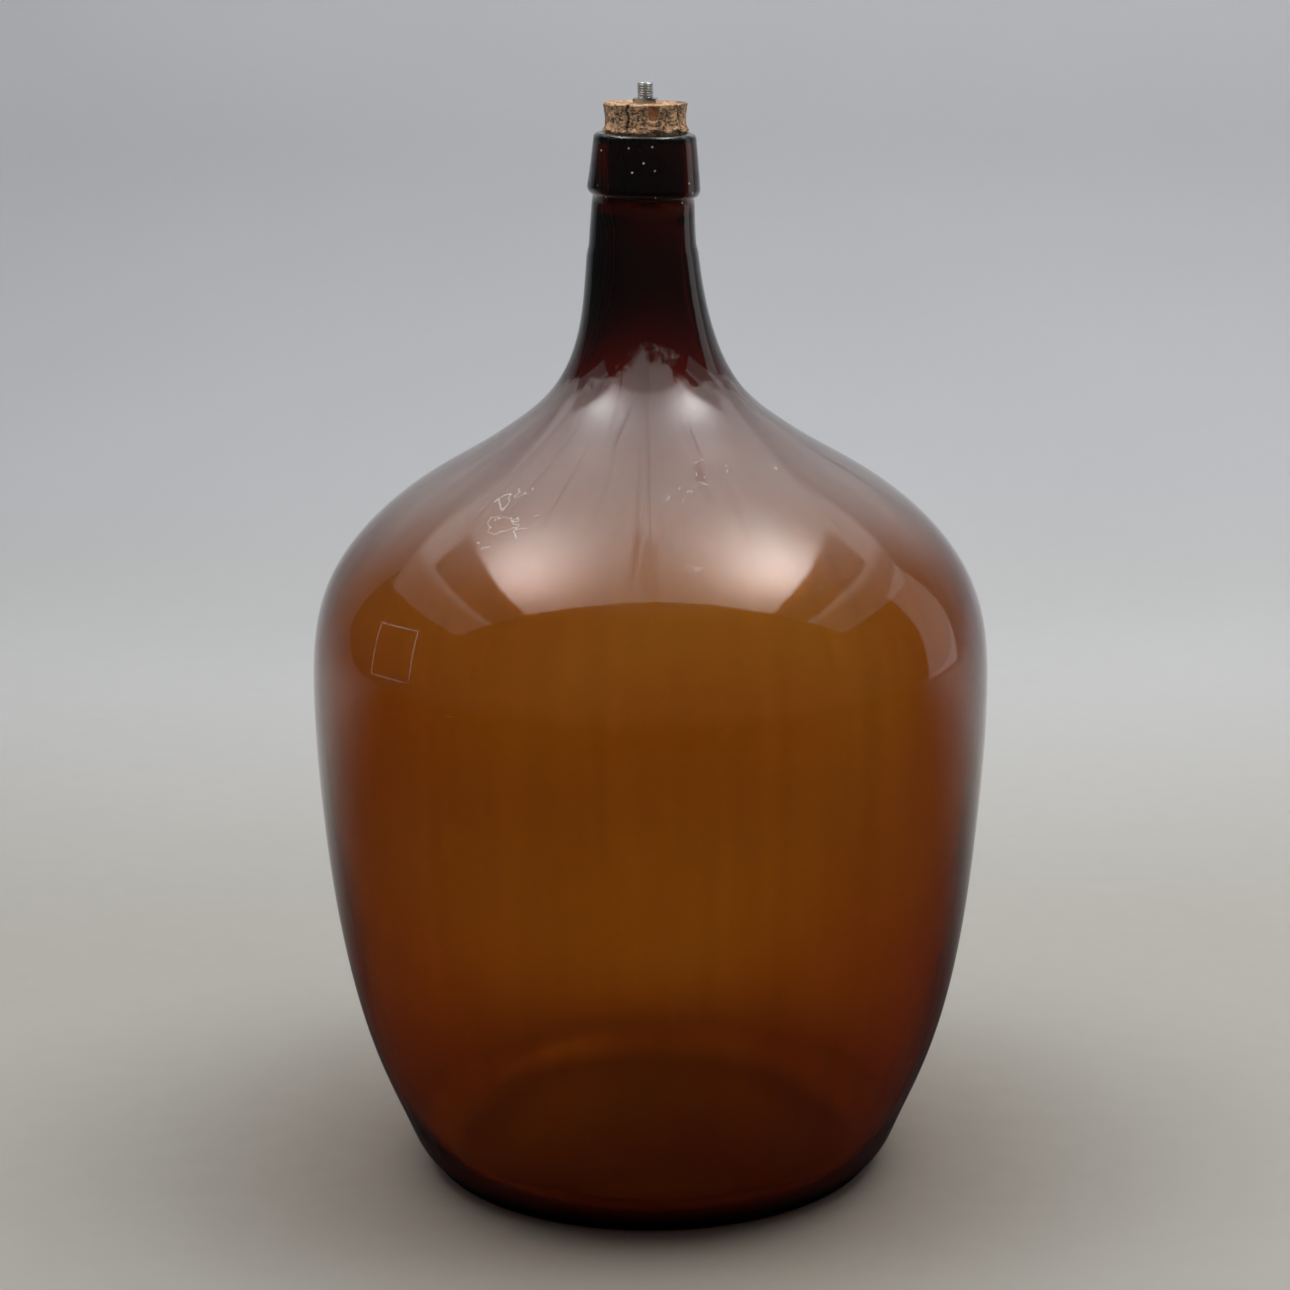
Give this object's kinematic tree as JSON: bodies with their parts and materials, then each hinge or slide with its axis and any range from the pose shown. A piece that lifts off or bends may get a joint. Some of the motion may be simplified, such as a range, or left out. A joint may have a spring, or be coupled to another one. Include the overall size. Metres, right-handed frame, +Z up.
{
  "type": "glass demijohn lamp base",
  "caption": "Large blown amber glass demijohn with a narrow collared neck, closed by a cork that carries a hollow threaded lamp tube and its clamping nuts.",
  "frame": {"origin": "centre of the base, on the surface the bottle stands on", "axes": "+Z up along the bottle's axis, out of its mouth; -Y is the side seen in front"},
  "size_m": [0.417, 0.417, 0.6745],
  "materials": {
    "amber_glass": "glossy, hazy with dust inside and on the shoulder",
    "cork": "natural cork, cut and torn, matte",
    "zinc_plated_steel": "bright zinc plate"
  },
  "bodies": {
    "bottle": {"glass_body": "amber_glass"},
    "stopper": {"cork_stopper": "cork", "threaded_tube": "zinc_plated_steel", "upper_nut": "zinc_plated_steel", "lower_washer": "zinc_plated_steel", "lower_nut": "zinc_plated_steel"}
  },
  "joints": [
    {"name": "stopper_lift", "type": "slide", "parent": "bottle", "child": "stopper", "axis": [0, 0, 1], "range_m": [0, 0.06]}
  ]
}
